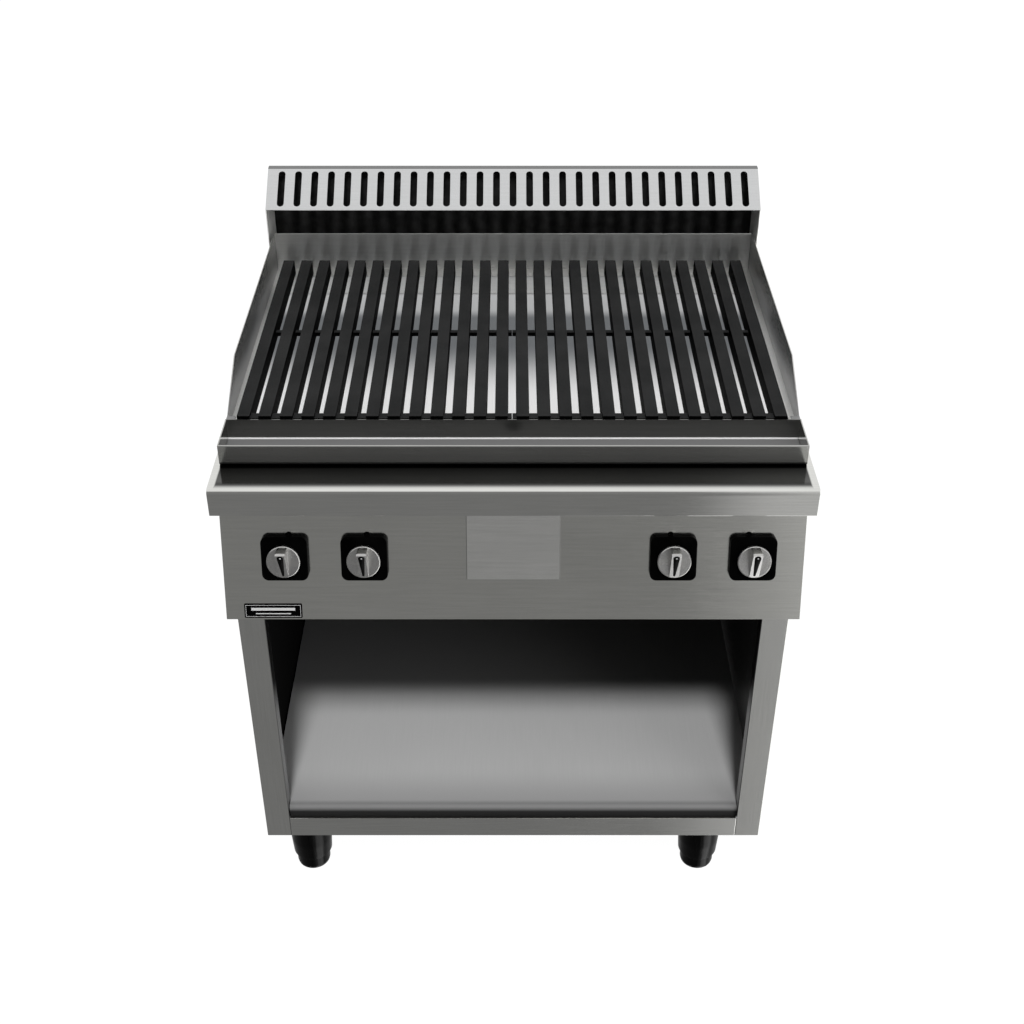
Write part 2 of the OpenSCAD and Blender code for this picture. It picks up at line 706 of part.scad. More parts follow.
worktop();
control_panel();
left_side_panel();
right_side_panel();
back_panel();
cabinet_floor();
base_rails();
left_post();
right_post();
bottom_rail();
compartment_ceiling();
left_hearth_wall();
right_hearth_wall();
rear_hearth_wall();
front_hearth_wall();
hearth_ledges();
gutter();
left_flue_cheek();
right_flue_cheek();
flue_grille();
flue_back();
bezels();
name_plate();
index_marks();
gas_manifold();
gas_inlet_pipe();
valve_bodies();
gas_tubes();
injectors();
burners();
pilot_burners();
radiants();
burner_support();
left_drip_plate();
right_drip_plate();
drawer_runners();
foot_sockets();
back_screws();
return_springs();
drawer_pan();
drawer_front();
left_grate();
right_grate();
knob(0);  // knob_1
knob(1);  // knob_2
knob(2);  // knob_3
knob(3);  // knob_4
spindle(0);  // spindle_1
spindle(1);  // spindle_2
spindle(2);  // spindle_3
spindle(3);  // spindle_4
valve_plug(0);  // valve_plug_1
valve_plug(1);  // valve_plug_2
valve_plug(2);  // valve_plug_3
valve_plug(3);  // valve_plug_4
foot(0);  // foot_1
foot(1);  // foot_2
foot(2);  // foot_3
foot(3);  // foot_4
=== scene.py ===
"""Looks of the char grill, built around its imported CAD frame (Blender 4.5)."""

import math

import bmesh
import bpy
from mathutils import Matrix, Vector


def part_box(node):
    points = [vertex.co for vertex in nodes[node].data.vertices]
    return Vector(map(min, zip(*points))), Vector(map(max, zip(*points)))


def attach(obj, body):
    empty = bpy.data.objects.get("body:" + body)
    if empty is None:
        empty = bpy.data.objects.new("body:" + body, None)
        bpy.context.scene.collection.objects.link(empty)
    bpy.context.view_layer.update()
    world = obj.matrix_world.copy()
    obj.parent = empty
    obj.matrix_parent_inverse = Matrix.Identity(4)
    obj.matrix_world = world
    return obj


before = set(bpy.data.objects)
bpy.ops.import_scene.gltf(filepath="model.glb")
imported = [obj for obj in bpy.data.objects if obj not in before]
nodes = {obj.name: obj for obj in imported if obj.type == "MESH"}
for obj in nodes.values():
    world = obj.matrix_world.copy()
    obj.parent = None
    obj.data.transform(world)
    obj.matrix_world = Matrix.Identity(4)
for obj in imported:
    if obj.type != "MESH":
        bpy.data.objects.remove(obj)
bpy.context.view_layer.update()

KNOB_X = (-0.307, -0.200, 0.215, 0.322)   # knobs from the centre line
KNOB_S = 0.0923                           # and up the panel's slope
TILT = math.radians(15)                   # lean of the control panel
PANEL_FOOT = (-0.018, 0.650)              # lower edge of its face: behind the worktop's front, and up
PLATE_AT = (-0.3275, 0.013)               # middle of the name plate: across, and up the slope

# ---- Places on the machine, taken from the frame ----

MID_Y = -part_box("worktop")[0].y           # the worktop's front face lies this far before the origin
TOP_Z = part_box("worktop")[1].z
RIDGE_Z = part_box("flue_grille")[1].z
SHELF_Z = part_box("cabinet_floor")[1].z
SHELF_Y0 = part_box("cabinet_floor")[0].y
BACK_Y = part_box("back_panel")[1].y
CABINET_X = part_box("right_side_panel")[1].x
HEARTH_Y0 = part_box("radiants")[0].y
FLUE_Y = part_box("flue_back")[1].y
SKIN_X0, SKIN_X1 = 0.0012, 0.0030         # depth into a side panel where its outer skin gives way to the lining
OPEN_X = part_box("right_post")[0].x
DRAWER_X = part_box("drawer_front")[1].x
GUTTER_Y0, GUTTER_Y1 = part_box("gutter")[0].y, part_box("gutter")[1].y


# ---- Node helpers ----

class Tree:
    """A node tree, with short calls to add and join nodes."""

    def __init__(self, owner):
        owner.use_nodes = True
        self.tree = owner.node_tree
        self.tree.nodes.clear()

    def add(self, kind, **inputs):
        node = self.tree.nodes.new(kind)
        for key, value in inputs.items():
            if key in node.inputs:
                node.inputs[key].default_value = value
            else:
                setattr(node, key, value)
        return node

    def link(self, a, b):
        self.tree.links.new(a, b)

    def feed(self, value, socket):
        """Another node's output, or a plain value, into the socket."""
        if isinstance(value, bpy.types.NodeSocket):
            self.link(value, socket)
        else:
            socket.default_value = value

    def math(self, operation, a, b=0.0):
        node = self.add("ShaderNodeMath", operation=operation)
        for socket, value in zip(node.inputs, (a, b)):
            self.feed(value, socket)
        return node.outputs[0]

    def ramp(self, value, lo, hi, to_lo=0.0, to_hi=1.0, smooth=True):
        """value from lo..hi mapped to to_lo..to_hi, held outside."""
        n = self.add("ShaderNodeMapRange", clamp=True)
        n.interpolation_type = "SMOOTHSTEP" if smooth else "LINEAR"
        self.link(value, n.inputs["Value"])
        for key, v in zip(("From Min", "From Max", "To Min", "To Max"), (lo, hi, to_lo, to_hi)):
            n.inputs[key].default_value = v
        return n.outputs[0]


class Shader(Tree):
    """One material's node tree."""

    def __init__(self, name):
        self.mat = bpy.data.materials.new(name)
        super().__init__(self.mat)
        self.out = self.add("ShaderNodeOutputMaterial")
        self.bsdf = self.add("ShaderNodeBsdfPrincipled")
        self.link(self.bsdf.outputs[0], self.out.inputs[0])
        self.coords = self.add("ShaderNodeTexCoord").outputs["Object"]

    def set(self, **values):
        for key, value in values.items():
            self.feed(value, self.bsdf.inputs[key.replace("_", " ")])

    def get(self, key):
        """The output that feeds the shader's socket so far."""
        return self.bsdf.inputs[key].links[0].from_socket

    def darken(self, factor):
        """Fade the colour to black where factor is 1."""
        self.set(Base_Color=self.mix(factor, self.get("Base Color"), grey(0.0)))

    def noise(self, scale, stretch=(1, 1, 1), detail=3.0, rough=0.55, shift=0.0):
        """Noise of that many features a metre, more along an axis with a larger stretch, from 0 to 1."""
        m = self.add("ShaderNodeMapping")
        m.inputs["Scale"].default_value = [scale * s for s in stretch]
        m.inputs["Location"].default_value = (shift, shift * 0.7, shift * 1.3)
        self.link(self.coords, m.inputs["Vector"])
        n = self.add("ShaderNodeTexNoise", Scale=1.0, Detail=detail, Roughness=rough)
        self.link(m.outputs[0], n.inputs["Vector"])
        return n.outputs["Fac"]

    def axis(self, which):
        s = self.add("ShaderNodeSeparateXYZ")
        self.link(self.coords, s.inputs[0])
        return s.outputs[which]

    def mix(self, factor, a, b):
        """Colour a where factor is 0, b where it is 1."""
        n = self.add("ShaderNodeMix", data_type="RGBA")
        for socket, value in ((n.inputs[0], factor), (n.inputs[6], a), (n.inputs[7], b)):
            self.feed(value, socket)
        return n.outputs[2]

    def bump(self, height, distance, strength=1.0):
        n = self.add("ShaderNodeBump", Strength=strength, Distance=distance)
        self.link(height, n.inputs["Height"])
        self.set(Normal=n.outputs[0])

    def edges(self, radius):
        """0 on flats, towards 1 along edges, where handling polishes the metal."""
        b = self.add("ShaderNodeBevel", Radius=radius)
        b.samples = 4
        g = self.add("ShaderNodeNewGeometry")
        d = self.add("ShaderNodeVectorMath", operation="DOT_PRODUCT")
        self.link(b.outputs[0], d.inputs[0])
        self.link(g.outputs["Normal"], d.inputs[1])
        return self.ramp(d.outputs["Value"], 0.97, 0.75)


def grey(v, tint=(1, 1, 1)):
    return (v * tint[0], v * tint[1], v * tint[2], 1.0)


GRAIN = {"X": (0.03, 1, 1), "Y": (1, 0.03, 1), "Z": (1, 1, 0.03)}
WARM = (1.0, 1.0, 0.965)


def brushed(name, value, along, rough=0.3, tint=WARM, metallic=1.0, wear=0.35, spread=0.10,
            grain=0.15):
    """Brushed stainless sheet with its grain along one axis."""
    s = Shader(name)
    fine = s.noise(2600, GRAIN[along], 2.0)
    streaks = s.noise(420, GRAIN[along], 4.0, shift=3.1)
    cloud = s.noise(5.5, detail=3.0, shift=7.7)
    tone = s.math("ADD", s.ramp(streaks, 0.3, 0.7, -spread, spread, False),
                  s.ramp(cloud, 0.3, 0.7, -0.6 * spread, 0.6 * spread))
    tone = s.math("ADD", tone, 0.5)
    base = s.mix(tone, grey(value * 0.80, tint), grey(value * 1.20, tint))
    worn = s.edges(0.0015)
    bright = s.mix(s.math("MULTIPLY", worn, wear), base, grey(min(1, value * 1.6), tint))
    s.set(Base_Color=bright, Metallic=metallic)
    s.set(Roughness=s.math("ADD", s.ramp(fine, 0.3, 0.7, rough - 0.03, rough + 0.04, False),
                           s.ramp(cloud, 0.3, 0.7, -0.015, 0.015)))
    s.bump(fine, 0.00001, grain)
    return s


def zoned(s, which, start, end, inner, rough):
    """Second colour past end, fading in from start: that colour, and rougher by rough; most callers paint shade
    with it.
    """
    zone = s.ramp(s.axis(which), start, end)
    s.set(Base_Color=s.mix(zone, s.get("Base Color"), inner),
          Roughness=s.math("ADD", s.get("Roughness"), s.math("MULTIPLY", zone, rough)))
    return s


def simple(name, low, high, metallic, r0, r1, scale=700):
    """Cast or drawn metal that varies from low to high, with roughness from r0 to r1."""
    s = Shader(name)
    n = s.noise(scale, detail=4)
    c = s.noise(12, detail=3, shift=4.0)
    worn = s.edges(0.001)
    base = s.mix(s.ramp(c, 0.3, 0.7), low, high)
    lift = tuple(min(1.0, v * 1.5) for v in high[:3]) + (1.0,)
    s.set(Base_Color=s.mix(s.math("MULTIPLY", worn, 0.4), base, lift), Metallic=metallic,
          Roughness=s.ramp(n, 0.3, 0.7, r0, r1))
    s.bump(n, 0.0001, 0.3)
    return s.mat


# ---- Materials ----

def make_materials():
    m = {}

    # Splash walls, darker towards their foot with painted shade down among the bars, and the pan and plates
    # that share their finish
    s = brushed("brushed_steel_deep", 0.72, "Y", rough=0.26, wear=0.1)
    m["steel_y"] = zoned(s, 2, TOP_Z + 0.075, TOP_Z + 0.030, grey(0.30), 0.05).mat

    # Posts, with painted shade along their edge at the opening; the right one is a fifth darker, also painted
    # shade
    s = brushed("brushed_steel_upright", 0.67, "Z", rough=0.17, wear=0.0)
    edge_shade = s.ramp(s.math("ABSOLUTE", s.axis(0)), OPEN_X + 0.0012, OPEN_X + 0.0006)
    s.darken(s.math("MULTIPLY", edge_shade, 0.93))
    # Painted shade: the right post a fifth darker
    s.darken(s.ramp(s.axis(0), 0.30, 0.34, 0.0, 0.20))
    m["steel_z"] = s.mat

    # Worktop, with a painted reflection of the dark gutter on the strip before it, brightening to its front
    # edge, and painted shade on its front face
    s = brushed("worktop_steel", 0.83, "X", rough=0.10, wear=0.1)
    y = s.axis(1)
    near = s.math("ADD", s.ramp(y, 0.004 - MID_Y, 0.015 - MID_Y, 1.0, 0.10),
                  s.ramp(y, 0.017 - MID_Y, 0.022 - MID_Y, 0.0, 0.05))
    near = s.math("MULTIPLY", near, s.ramp(y, 0.024 - MID_Y, 0.056 - MID_Y, 1.0, 0.25))
    ends = s.ramp(s.math("ABSOLUTE", s.axis(0)), 0.389, 0.392)
    fascia = s.ramp(s.axis(2), TOP_Z - 0.003, TOP_Z - 0.007)
    # Painted reflection of the gutter: the strip behind the front edge goes dark, the ends and the front face
    # stay clear
    s.darken(s.math("SUBTRACT", 1.0, s.math("MAXIMUM", s.math("MAXIMUM", near, ends), fascia)))
    # Painted shade: the front face a sixth darker
    s.darken(s.math("MULTIPLY", fascia, 0.17))
    m["top"] = s.mat

    m["front"] = brushed("panel_steel", 0.73, "X", rough=0.15, tint=(1.0, 1.0, 0.95), wear=0.05).mat
    m["rail"] = brushed("rail_steel", 0.64, "X", rough=0.15, wear=0.05).mat

    # Gutter: painted shade on its rear wall, a painted highlight along the crease at that wall's foot and a
    # painted contact shadow along the foot of its front face; its floor is dull grey satin, far less metallic
    s = brushed("gutter_steel", 0.56, "X", rough=0.13, wear=0.6, grain=0.02)
    y, z = s.axis(1), s.axis(2)
    rear = s.ramp(y, GUTTER_Y1 - 0.0022, GUTTER_Y1 - 0.0016)
    front = s.ramp(y, GUTTER_Y0 + 0.0006, GUTTER_Y0 + 0.0001)
    low = s.math("MULTIPLY", s.ramp(z, TOP_Z + 0.0040, TOP_Z + 0.0020),
                 s.ramp(y, GUTTER_Y1 - 0.0016, GUTTER_Y1 - 0.0022))
    foot = s.math("MULTIPLY", s.ramp(z, TOP_Z + 0.0060, TOP_Z + 0.0035),
                  s.ramp(y, GUTTER_Y0 + 0.0055, GUTTER_Y0 + 0.0045))
    # Painted shade on the rear wall
    s.darken(s.math("MULTIPLY", rear, 0.64))
    # Painted highlight along the crease where the floor meets the rear wall; the floor itself a dull grey
    crease = s.math("MULTIPLY", s.ramp(y, GUTTER_Y1 - 0.0048, GUTTER_Y1 - 0.0036), low)
    s.set(Base_Color=s.mix(crease, s.mix(low, s.get("Base Color"), grey(0.17)), grey(0.62)))
    # Painted contact shadow at the foot of the front face
    s.darken(s.math("MULTIPLY", foot, 0.9))
    dull = s.math("ADD", s.math("MULTIPLY", low, 0.7), s.math("MULTIPLY", front, 0.06))
    satin = s.math("ADD", s.math("MULTIPLY", rear, 0.18), s.math("MULTIPLY", low, 0.25))
    s.set(Metallic=s.math("SUBTRACT", 1.0, dull), Roughness=s.math("ADD", s.get("Roughness"), satin))
    m["gutter"] = s.mat

    # Drawer's front, with painted shade along its left and right edges
    s = brushed("drawer_front_steel", 0.94, "X", rough=0.2, tint=(1.0, 1.0, 0.97), wear=0.0)
    edge_shade = s.ramp(s.math("ABSOLUTE", s.axis(0)), DRAWER_X - 0.0009, DRAWER_X - 0.0003)
    s.darken(s.math("MULTIPLY", edge_shade, 0.85))
    m["drawer"] = s.mat
    m["hearth"] = brushed("hearth_wall_steel", 0.92, "X", rough=0.36, tint=(1.0, 1.0, 0.98), wear=0.1).mat
    m["cheek"] = brushed("flue_cheek_steel", 0.80, "Y", rough=0.42, metallic=0.45, wear=0.0).mat

    # Flue face, a little duller along the ridge
    s = brushed("flue_face_steel", 0.715, "X", rough=0.2, tint=(0.985, 0.995, 1.0), spread=0.06)
    m["flue"] = zoned(s, 2, RIDGE_Z - 0.0013, RIDGE_Z - 0.0006, grey(0.22), 0.1).mat

    # Cabinet: satin shelf with painted shade over its rear, its front strip and round its front fold, and inner
    # faces painted dark for the shade inside
    s = brushed("shelf_steel", 0.37, "Y", rough=0.50, metallic=0.05, tint=(1, 1, 1), wear=0.0, spread=0.05)
    # Painted shade: shadow over the rear past the key light's reach, a darker front strip and front edge,
    # near-black on the fold's face
    zoned(s, 1, 0.295 - MID_Y, 0.345 - MID_Y, grey(0.17), 0.1)
    zoned(s, 1, 0.130 - MID_Y, 0.045 - MID_Y, grey(0.26), 0.0)
    zoned(s, 1, SHELF_Y0 + 0.0165, SHELF_Y0 + 0.0050, grey(0.15), 0.0)
    m["shelf"] = zoned(s, 2, SHELF_Z + 0.0002, SHELF_Z - 0.0110, grey(0.002), 0.3).mat
    # Back sheet's inner face painted near-black: painted shade inside the cabinet
    s = brushed("back_sheet_steel", 0.55, "Z", rough=0.30)
    m["back"] = zoned(s, 1, BACK_Y - 0.0006, BACK_Y - 0.0012, grey(0.011), 0.2).mat
    # Ceiling painted near-black: painted shade inside the cabinet
    m["ceiling"] = brushed("ceiling_steel", 0.03, "Z", rough=0.45, metallic=0.6, tint=(1, 1, 1)).mat
    # Side panels: steel outer skin; the left lining painted near-black with no shine, the right lining dark
    # grey, both painted shade inside the cabinet
    s = brushed("left_side_steel", 0.55, "Z")
    outer = s.ramp(s.axis(0), SKIN_X0 - CABINET_X, SKIN_X1 - CABINET_X, 1.0, 0.0)
    s.set(Metallic=outer, Specular_IOR_Level=s.math("MULTIPLY", outer, 0.5))
    m["left_side"] = zoned(s, 0, SKIN_X0 - CABINET_X, SKIN_X1 - CABINET_X, grey(0.006), 0.10).mat
    s = brushed("right_side_steel", 0.55, "Z")
    m["right_side"] = zoned(s, 0, CABINET_X - SKIN_X0, CABINET_X - SKIN_X1, grey(0.10), 0.10).mat

    # Radiant plates: matt bright sheet, darkened to a blue-grey in the middle of its depth and less towards the
    # back: painted shade under the grate, in a heat-tint blue
    s = brushed("radiant_steel", 0.96, "Y", rough=0.40, metallic=0.08, tint=(1, 1, 1), wear=0.0, spread=0.03)
    y = s.axis(1)
    front = s.ramp(y, HEARTH_Y0 + 0.165, HEARTH_Y0 + 0.335, 0.0, 0.88)
    rear = s.ramp(y, HEARTH_Y0 + 0.422, HEARTH_Y0 + 0.458, 1.0, 0.56)
    s.set(Base_Color=s.mix(s.math("MULTIPLY", front, rear), s.get("Base Color"), (0.068, 0.078, 0.088, 1)))
    m["radiant"] = s.mat

    # Flue's back sheet: brushed outside; near-black inside, soot together with painted shade in the throat
    s = brushed("flue_back_steel", 0.55, "X", rough=0.30)
    outer = s.ramp(s.axis(1), FLUE_Y - 0.0010, FLUE_Y - 0.0005)
    soot_and_shade = s.noise(60, detail=5)
    soot_and_shade = s.mix(s.ramp(soot_and_shade, 0.3, 0.7), grey(0.006), grey(0.014))
    s.set(Base_Color=s.mix(outer, soot_and_shade, s.get("Base Color")), Metallic=outer,
          Specular_IOR_Level=s.ramp(outer, 0.0, 1.0, 0.12, 0.5, False))
    m["flue_back"] = s.mat

    # Cast iron, rough-cast and seasoned: polished a little along its edges, with painted shade down its sides
    s = Shader("seasoned_cast_iron")
    pits = s.noise(900, detail=4)
    cloud = s.noise(14, detail=3, shift=2.0)
    base = s.mix(s.ramp(cloud, 0.3, 0.7), grey(0.0085, (1, 1.03, 1.05)), grey(0.0135, (1, 1.01, 1.02)))
    worn = s.edges(0.0012)
    side = s.add("ShaderNodeSeparateXYZ")
    s.link(s.add("ShaderNodeNewGeometry").outputs["Normal"], side.inputs[0])
    # Painted shade: faces that don't face up get darker colour and weaker specular
    side = s.ramp(side.outputs[2], 0.75, 0.25)
    base = s.mix(s.math("MULTIPLY", side, 0.93), base, grey(0.0))
    s.set(Base_Color=s.mix(s.math("MULTIPLY", worn, 0.5), base, grey(0.035)), Metallic=0.0,
          Roughness=s.math("ADD", s.ramp(pits, 0.3, 0.7, 0.42, 0.62), s.math("MULTIPLY", worn, -0.1)),
          Specular_IOR_Level=s.ramp(side, 0.0, 1.0, 0.06, 0.004, False))
    s.bump(pits, 0.00012, 0.4)
    m["iron"] = s.mat

    # Black enamelled bezels and plate
    s = Shader("black_enamel")
    n = s.noise(1800, detail=2)
    s.set(Base_Color=s.mix(s.ramp(s.noise(40), 0.3, 0.7), grey(0.0004), grey(0.0010)),
          Roughness=s.ramp(n, 0.3, 0.7, 0.30, 0.40), Specular_IOR_Level=0.006)
    s.bump(n, 0.00003, 0.3)
    m["black"] = s.mat

    # Satin plated knobs
    s = Shader("satin_plated_knob")
    n = s.noise(1500, detail=3)
    cloud = s.noise(90, detail=2, shift=1.0)
    base = s.mix(s.ramp(cloud, 0.3, 0.7), grey(0.54, (1.0, 0.99, 0.98)), grey(0.62, (1.0, 0.99, 0.96)))
    worn = s.edges(0.0008)
    s.set(Base_Color=s.mix(s.math("MULTIPLY", worn, 0.12), base, grey(0.80)), Metallic=1.0,
          Roughness=s.ramp(n, 0.3, 0.7, 0.24, 0.34))
    s.bump(n, 0.00004, 0.3)
    m["knob"] = s.mat

    s = Shader("knob_inlay_black")
    n = s.noise(2200, detail=2)
    s.set(Base_Color=s.mix(s.ramp(s.noise(120), 0.3, 0.7), grey(0.0015), grey(0.0035)),
          Roughness=s.ramp(n, 0.3, 0.7, 0.4, 0.55), Specular_IOR_Level=0.03)
    m["inlay"] = s.mat

    s = Shader("pale_mark")
    n = s.noise(1800, detail=2)
    s.set(Base_Color=s.mix(s.ramp(n, 0.3, 0.7), grey(0.34), grey(0.42)),
          Roughness=s.ramp(n, 0.3, 0.7, 0.35, 0.5))
    m["pale"] = s.mat

    # Polished dark feet
    s = Shader("polished_dark_metal")
    n = s.noise(500, (1, 1, 0.08), detail=3)
    worn = s.edges(0.0012)
    base = s.mix(s.ramp(n, 0.3, 0.7), grey(0.008), grey(0.012))
    s.set(Base_Color=s.mix(s.math("MULTIPLY", worn, 0.3), base, grey(0.25)), Metallic=1.0,
          Roughness=s.ramp(n, 0.3, 0.7, 0.14, 0.22))
    m["foot"] = s.mat

    m["brass"] = simple("machined_brass", (0.52, 0.37, 0.14, 1), (0.66, 0.49, 0.22, 1), 1.0, 0.22, 0.38)
    m["zinc"] = simple("zinc_plated_steel", grey(0.30, (1, 1, 0.97)), grey(0.42, (0.97, 1, 1.02)),
                       0.9, 0.38, 0.55, 240)
    m["aluminium"] = simple("drawn_aluminium", grey(0.62), grey(0.74), 1.0, 0.25, 0.38, 900)
    return m


mats = make_materials()

ASSIGN = {
    "top": ["worktop"],
    "front": ["control_panel"],
    "rail": ["bottom_rail"],
    "gutter": ["gutter"],
    "steel_z": ["left_post", "right_post"],
    "left_side": ["left_side_panel"],
    "right_side": ["right_side_panel"],
    "back": ["back_panel"],
    "cheek": ["left_flue_cheek", "right_flue_cheek"],
    "steel_y": ["left_hearth_wall", "right_hearth_wall", "left_drip_plate", "right_drip_plate",
                "drawer_runners", "drawer_pan"],
    "hearth": ["rear_hearth_wall", "front_hearth_wall", "hearth_ledges"],
    "radiant": ["radiants"],
    "flue": ["flue_grille"],
    "flue_back": ["flue_back"],
    "shelf": ["cabinet_floor"],
    "ceiling": ["compartment_ceiling"],
    "drawer": ["drawer_front"],
    "iron": ["left_grate", "right_grate"],
    "black": ["bezels", "name_plate", "index_marks"],
    "knob": ["knob_1", "knob_2", "knob_3", "knob_4"],
    "zinc": ["base_rails", "gas_manifold", "gas_inlet_pipe", "burners", "burner_support", "back_screws",
             "return_springs", "spindle_1", "spindle_2", "spindle_3", "spindle_4"],
    "brass": ["valve_bodies", "injectors", "pilot_burners", "valve_plug_1", "valve_plug_2", "valve_plug_3",
              "valve_plug_4"],
    "aluminium": ["gas_tubes"],
    "foot": ["foot_1", "foot_2", "foot_3", "foot_4", "foot_sockets"],
}
for key, names in ASSIGN.items():
    for name in names:
        o = nodes[name]
        o.data.materials.clear()
        o.data.materials.append(mats[key])
missing = sorted(set(nodes) - {n for v in ASSIGN.values() for n in v})
if missing:
    raise RuntimeError(f"no material for {missing}")

# The grates cast no shadow, so the bars leave no stripes on the radiant plates below them; the plates' shade is
# painted in their colour
for name in ("left_grate", "right_grate"):
    nodes[name].visible_shadow = False

# ---- Softened edges ----

BEVELS = {
    0.0003: ["flue_grille", "name_plate", "valve_bodies", "base_rails", "drawer_front"],
    0.0007: ["control_panel", "left_side_panel", "right_side_panel", "left_post", "right_post", "bottom_rail",
             "gutter", "left_flue_cheek", "right_flue_cheek", "left_hearth_wall",
             "right_hearth_wall", "rear_hearth_wall", "front_hearth_wall", "drawer_pan",
             "worktop", "cabinet_floor", "back_panel", "flue_back"],
    0.0010: ["left_grate", "right_grate"],
    0.0012: ["bezels"],
    0.0005: ["knob_1", "knob_2", "knob_3", "knob_4", "foot_1", "foot_2", "foot_3", "foot_4", "foot_sockets"],
}


def soften(o, width, angle=35):
    weld = o.modifiers.new("weld", "WELD")
    weld.merge_threshold = 0.00001
    flat = o.modifiers.new("flat", "DECIMATE")
    flat.decimate_type = "DISSOLVE"
    flat.angle_limit = math.radians(0.6)
    bevel = o.modifiers.new("bevel", "BEVEL")
    bevel.width = width
    bevel.segments = 2
    bevel.limit_method = "ANGLE"
    bevel.angle_limit = math.radians(angle)
    bevel.use_clamp_overlap = True
    bevel.harden_normals = False
    smooth = o.modifiers.new("normals", "WEIGHTED_NORMAL")
    smooth.keep_sharp = True


for width, names in BEVELS.items():
    for name in names:
        soften(nodes[name], width)


# ---- Pieces ----

def mesh_object(name, bm, material, body, smooth=False):
    me = bpy.data.meshes.new(name)
    bmesh.ops.recalc_face_normals(bm, faces=bm.faces)
    bm.to_mesh(me)
    bm.free()
    for p in me.polygons:
        p.use_smooth = smooth
    me.materials.append(material)
    o = bpy.data.objects.new(name, me)
    bpy.context.scene.collection.objects.link(o)
    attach(o, body)
    return o


def panel_frame(x, s, z=0.0):
    """Matrix of the control panel's face: x across, y up the slope, z outwards."""
    y0 = PANEL_FOOT[0] + s * math.sin(TILT) - z * math.cos(TILT)
    z0 = PANEL_FOOT[1] + s * math.cos(TILT) + z * math.sin(TILT)
    lay = Matrix.Rotation(math.pi / 2 - TILT, 4, "X")
    return Matrix.Translation((x, y0 - MID_Y, z0)) @ lay


def slab(bm, outline, matrix, low, high, inset=0.0):
    """Plate of that outline in matrix's xy plane, from z low to z high, its top edge drawn in by inset."""
    lower = [bm.verts.new(matrix @ Vector((x, y, low))) for x, y in outline]
    n = len(outline)
    cx = sum(p[0] for p in outline) / n
    cy = sum(p[1] for p in outline) / n
    upper = []
    for x, y in outline:
        d = math.hypot(x - cx, y - cy)
        k = (d - inset) / d if d > 1e-9 else 1
        upper.append(bm.verts.new(matrix @ Vector((cx + (x - cx) * k, cy + (y - cy) * k, high))))
    bm.faces.new(list(reversed(lower)))
    bm.faces.new(upper)
    for i in range(n):
        j = (i + 1) % n
        bm.faces.new((lower[i], lower[j], upper[j], upper[i]))


def teardrop(y0, r0, y1, r1, steps=20):
    """Outline of a tapering drop from a small round end at y0 to a large one at y1."""
    lean = math.asin((r1 - r0) / (y1 - y0))
    pts = []
    for i in range(steps + 1):
        a = -lean + (math.pi + 2 * lean) * i / steps
        pts.append((r1 * math.cos(a), y1 + r1 * math.sin(a)))
    for i in range(steps + 1):
        a = math.pi + lean + (math.pi - 2 * lean) * i / steps
        pts.append((r0 * math.cos(a), y0 + r0 * math.sin(a)))
    return pts


def disc(r, cx, cy, steps=24):
    return [(cx + r * math.cos(2 * math.pi * i / steps), cy + r * math.sin(2 * math.pi * i / steps))
            for i in range(steps)]


# Ends of the grip's sloping top, up the panel's slope and outwards
GRIP_LOW, GRIP_HIGH = (-0.022, 0.0215), (0.0185, 0.046)
along, out = GRIP_HIGH[0] - GRIP_LOW[0], GRIP_HIGH[1] - GRIP_LOW[1]
slope, length = math.atan2(out, along), math.hypot(out, along)
for k, x in enumerate(KNOB_X, 1):
    top = (panel_frame(x, KNOB_S) @ Matrix.Translation((0, GRIP_LOW[0], GRIP_LOW[1]))
           @ Matrix.Rotation(slope, 4, "X"))
    bm = bmesh.new()
    slab(bm, teardrop(0.0050, 0.0015, length - 0.0049, 0.0044), top, -0.0003, 0.00035, 0.0003)
    mesh_object(f"knob_inlay_{k}", bm, mats["inlay"], f"knob_{k}", True)
    bm = bmesh.new()
    slab(bm, disc(0.0013, 0, length - 0.0050), top, 0.0001, 0.0006, 0.0002)
    mesh_object(f"knob_dot_{k}", bm, mats["pale"], f"knob_{k}", True)


def name_plate_print():
    """Plain rim and two plain bars on the black plate."""
    at = panel_frame(*PLATE_AT)
    bm = bmesh.new()
    w, h, rim = 0.0375, 0.0085, 0.0005
    for x0, y0, x1, y1 in ((-w, h - rim, w, h), (-w, -h, w, rim - h), (-w, rim - h, rim - w, h - rim),
                           (w - rim, rim - h, w, h - rim), (-0.030, 0.0005, 0.030, 0.0045),
                           (-0.024, -0.0048, 0.024, -0.0034)):
        slab(bm, [(x0, y0), (x1, y0), (x1, y1), (x0, y1)], at, 0.0009, 0.0011)
    mesh_object("name_plate_print", bm, mats["pale"], "frame")


name_plate_print()

# ---- Studio ----

FLOOR_SIDE = 30.0
FLOOR_Z = -0.0005                         # just under the feet


def make_floor():
    """Pale floor that glows evenly and is hidden from reflections and bounced light."""
    bm = bmesh.new()
    h = FLOOR_SIDE / 2
    bm.faces.new([bm.verts.new((x, y, FLOOR_Z)) for x, y in ((-h, -h), (h, -h), (h, h), (-h, h))])
    me = bpy.data.meshes.new("studio_floor")
    bm.to_mesh(me)
    bm.free()
    s = Shader("pale_floor")
    n = s.noise(3)
    s.set(Base_Color=s.mix(n, grey(0.03), grey(0.05)), Roughness=0.9, Emission_Color=(1, 1, 1, 1),
          Emission_Strength=0.985, Specular_IOR_Level=0.0)
    me.materials.append(s.mat)
    o = bpy.data.objects.new("studio_floor", me)
    bpy.context.scene.collection.objects.link(o)
    o.visible_glossy = False
    o.visible_diffuse = False


make_floor()


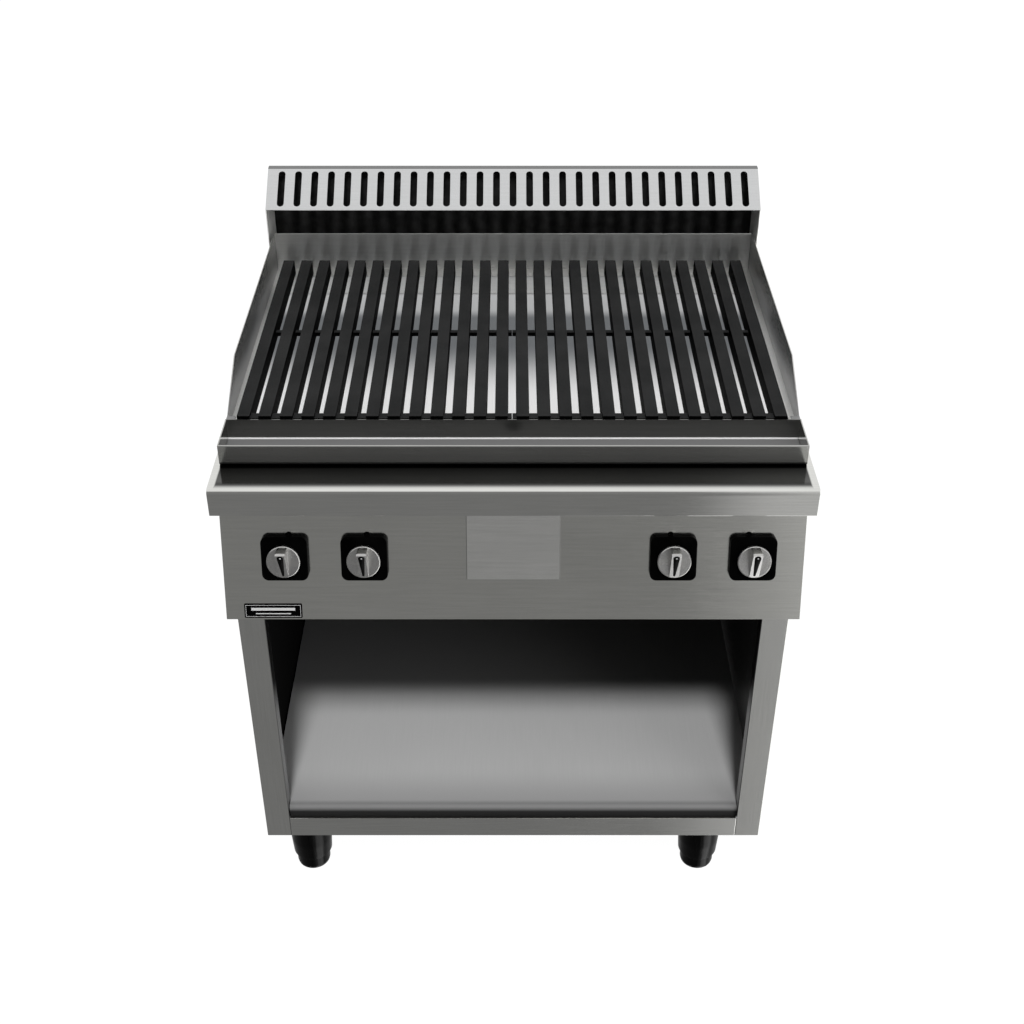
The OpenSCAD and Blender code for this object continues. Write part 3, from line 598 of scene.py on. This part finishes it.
def make_world():
    """Bright dome overhead, darker below the horizon and lighter again to the front right."""
    w = bpy.data.worlds.new("studio")
    t = Tree(w)
    out, bg = t.add("ShaderNodeOutputWorld"), t.add("ShaderNodeBackground")
    split = t.add("ShaderNodeSeparateXYZ")
    t.link(t.add("ShaderNodeTexCoord").outputs["Generated"], split.inputs[0])
    x, y, z = split.outputs
    lean = math.radians(35)               # the bright dome leans towards the back
    height = t.math("ADD", t.math("MULTIPLY", y, math.sin(lean)), t.math("MULTIPLY", z, math.cos(lean)))
    dome = t.ramp(height, 0.12, 0.42)
    azimuth = t.math("ARCTAN2", x, t.math("MULTIPLY", y, -1.0))   # 0 at the front, more to the right

    def turn(start, end, before, after):
        return t.ramp(azimuth, math.radians(start), math.radians(end), before, after)

    side = turn(8.5, 12.5, 0.260, 0.68)
    side = t.math("ADD", side, turn(24, 34, 0.0, 2.4))
    side = t.math("SUBTRACT", side, turn(62, 80, 0.0, 2.5))
    side = t.math("SUBTRACT", side, turn(95, 150, 0.0, 0.10))
    side = t.math("ADD", side, turn(-100, -150, 0.0, 0.155))
    low = t.math("MULTIPLY", side, t.math("SUBTRACT", 1.0, dome))
    t.link(t.math("ADD", low, t.math("MULTIPLY", dome, 1.05)), bg.inputs["Strength"])
    t.link(bg.outputs[0], out.inputs[0])
    bpy.context.scene.world = w


make_world()


def make_sun():
    """Soft frontal key that reaches the shelf through the open front; reflections don't show it."""
    light = bpy.data.lights.new("key", "SUN")
    light.energy = 3.0
    light.angle = math.radians(8)
    o = bpy.data.objects.new("key", light)
    bpy.context.scene.collection.objects.link(o)
    o.visible_glossy = False
    elevation = math.radians(53.9)
    o.rotation_euler = (math.pi / 2 - elevation, 0, 0)


make_sun()


def make_camera():
    cam = bpy.data.cameras.new("camera")
    cam.lens = 50.6
    cam.sensor_width = 36.0
    cam.clip_end = 100
    o = bpy.data.objects.new("camera", cam)   # placed as solved from the photograph's converging edges
    bpy.context.scene.collection.objects.link(o)
    o.location = (-0.0017, -1.551 - MID_Y, TOP_Z + 1.046)
    o.rotation_euler = (math.radians(90 - 34.84), 0, 0)
    bpy.context.scene.camera = o


make_camera()
bpy.context.scene.view_settings.view_transform = "Standard"
